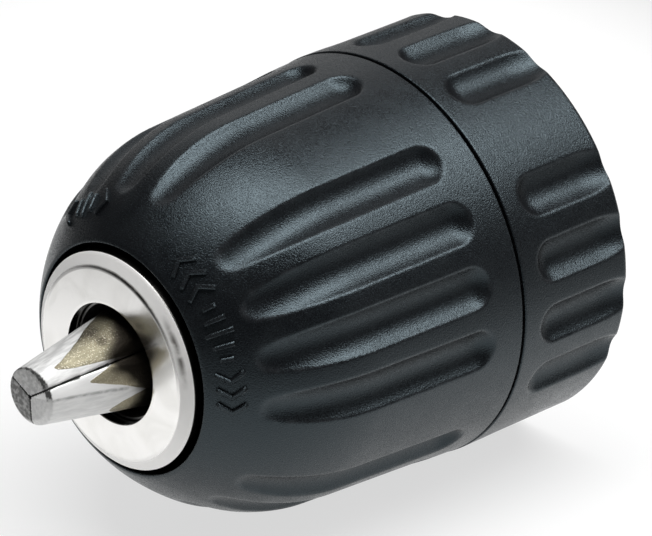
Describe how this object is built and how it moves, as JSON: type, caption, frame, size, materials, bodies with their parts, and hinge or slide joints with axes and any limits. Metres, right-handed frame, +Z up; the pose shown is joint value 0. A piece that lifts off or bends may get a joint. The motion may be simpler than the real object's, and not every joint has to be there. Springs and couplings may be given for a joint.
{
  "type": "keyless drill chuck",
  "caption": "Keyless drill chuck: a turning grip sleeve drives slanted jaws through a split nut on a ball thrust bearing; threaded spindle bore.",
  "frame": {"origin": "centre of the rear seat, at the mouth of the spindle bore", "axes": "+Y along the chuck's axis towards the drill, the nose points to -Y; +Z up with the chuck lying on its side"},
  "size_m": [0.037, 0.0527, 0.037],
  "materials": {
    "front_grip": "black moulded plastic, fine spark texture, satin",
    "rear_grip": "black moulded plastic, fine spark texture, satin",
    "plated_ring": "bright plated steel, softly polished",
    "jaw_steel": "ground tool steel with heat-tinted blank",
    "body_steel": "turned steel, lightly oiled",
    "nut_steel": "sintered steel, dark",
    "band_steel": "drawn steel band",
    "race_steel": "hardened and ground",
    "cage_brass": "stamped brass, satin",
    "ball_steel": "polished bearing steel"
  },
  "bodies": {
    "housing": {"chuck_body": "body_steel", "nose_ring": "plated_ring", "rear_sleeve": "rear_grip", "race_rear": "race_steel"},
    "turning_sleeve": {"front_sleeve": "front_grip", "nut_half_1": "nut_steel", "nut_half_2": "nut_steel", "nut_band": "band_steel", "race_front": "race_steel"},
    "bearing": {"ball_cage": "cage_brass", "ball_01": "ball_steel", "ball_02": "ball_steel", "ball_03": "ball_steel", "ball_04": "ball_steel", "ball_05": "ball_steel", "ball_06": "ball_steel", "ball_07": "ball_steel", "ball_08": "ball_steel", "ball_09": "ball_steel", "ball_10": "ball_steel", "ball_11": "ball_steel", "ball_12": "ball_steel", "ball_13": "ball_steel", "ball_14": "ball_steel", "ball_15": "ball_steel", "ball_16": "ball_steel", "ball_17": "ball_steel", "ball_18": "ball_steel", "ball_19": "ball_steel", "ball_20": "ball_steel", "ball_21": "ball_steel", "ball_22": "ball_steel", "ball_23": "ball_steel", "ball_24": "ball_steel"},
    "jaw_1": {"jaw_1": "jaw_steel"},
    "jaw_2": {"jaw_2": "jaw_steel"},
    "jaw_3": {"jaw_3": "jaw_steel"}
  },
  "joints": [
    {"name": "sleeve_turn", "type": "hinge", "parent": "housing", "child": "turning_sleeve", "pos_m": [0, 0, 0], "axis": [0, -1, 0], "range_deg": [0, 4450]},
    {"name": "bearing_turn", "type": "hinge", "parent": "housing", "child": "bearing", "pos_m": [0, 0, 0], "axis": [0, -1, 0], "range_deg": [0, 2400]},
    {"name": "jaw_1_slide", "type": "slide", "parent": "housing", "child": "jaw_1", "axis": [-0.0165, 0.9659, 0.2583], "range_m": [0, 0.0192]},
    {"name": "jaw_2_slide", "type": "slide", "parent": "housing", "child": "jaw_2", "axis": [-0.2155, 0.9659, -0.1434], "range_m": [0, 0.0192]},
    {"name": "jaw_3_slide", "type": "slide", "parent": "housing", "child": "jaw_3", "axis": [0.2319, 0.9659, -0.1149], "range_m": [0, 0.0192]}
  ],
  "couplings": [
    {"joint": "bearing_turn", "follows": "sleeve_turn", "ratio": 0.5},
    {"joint": "jaw_1_slide", "follows": "sleeve_turn", "m_per_rad": 0.00024715},
    {"joint": "jaw_2_slide", "follows": "sleeve_turn", "m_per_rad": 0.00024715},
    {"joint": "jaw_3_slide", "follows": "sleeve_turn", "m_per_rad": 0.00024715}
  ]
}
